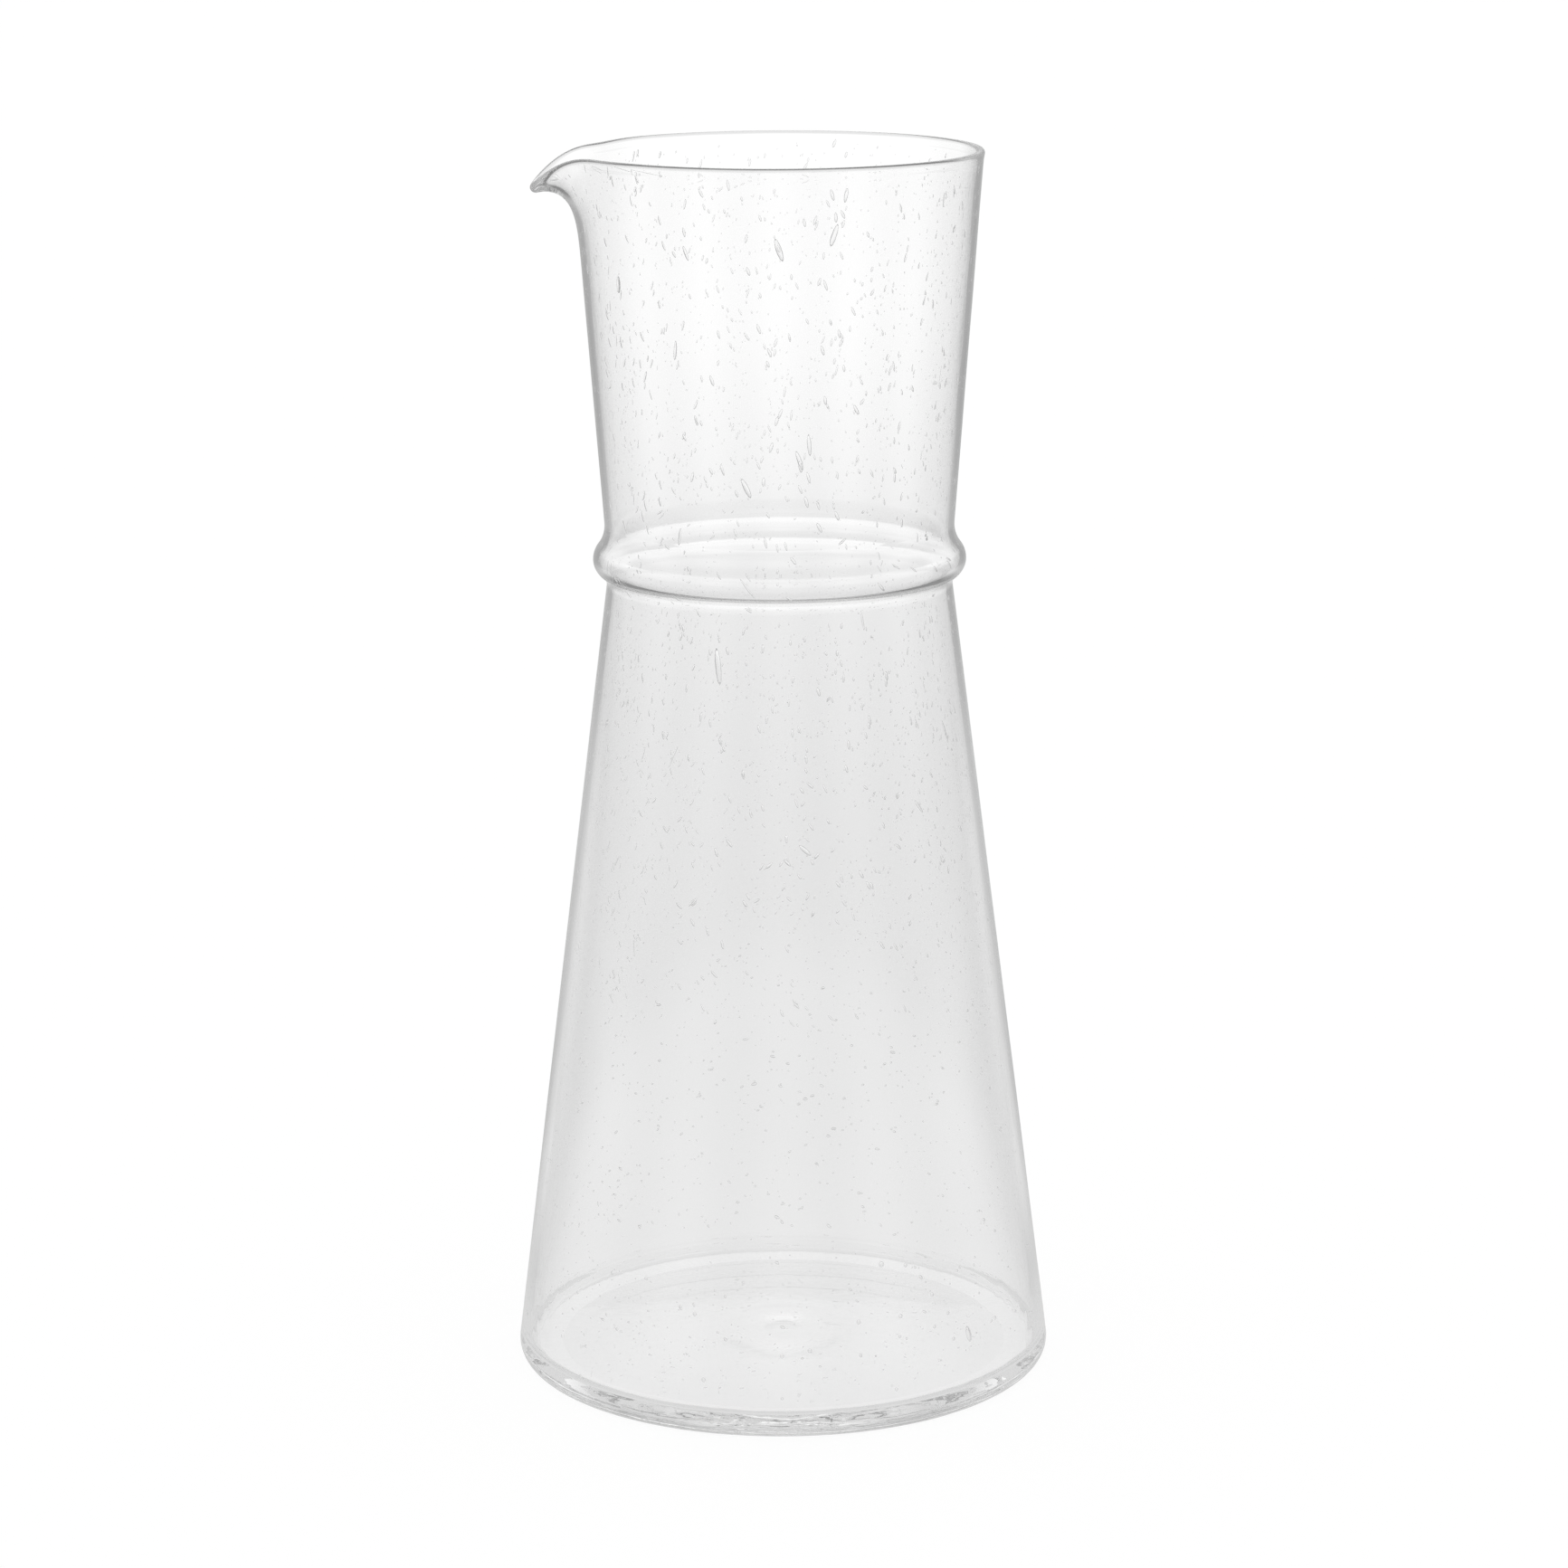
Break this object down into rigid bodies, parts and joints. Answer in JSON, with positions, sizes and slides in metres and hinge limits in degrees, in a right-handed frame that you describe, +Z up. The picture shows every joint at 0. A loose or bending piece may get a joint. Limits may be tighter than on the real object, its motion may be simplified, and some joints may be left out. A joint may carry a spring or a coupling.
{
  "type": "water carafe",
  "caption": "Mouth-blown clear seeded glass water carafe: a tall cone, a hollow collar at the waist and a funnel neck with a pulled pouring lip.",
  "frame": {"origin": "centre of the resting face under the heel, on the carafe's axis", "axes": "+Z up along the axis, -X towards the pouring lip, +Y completes a right-handed frame"},
  "size_m": [0.11, 0.11, 0.25],
  "materials": {
    "glass": "clear, fire-polished, with small air bubbles"
  },
  "bodies": {
    "root": {"base": "glass", "body": "glass", "collar": "glass", "neck": "glass", "rim": "glass", "lip": "glass"}
  },
  "joints": []
}
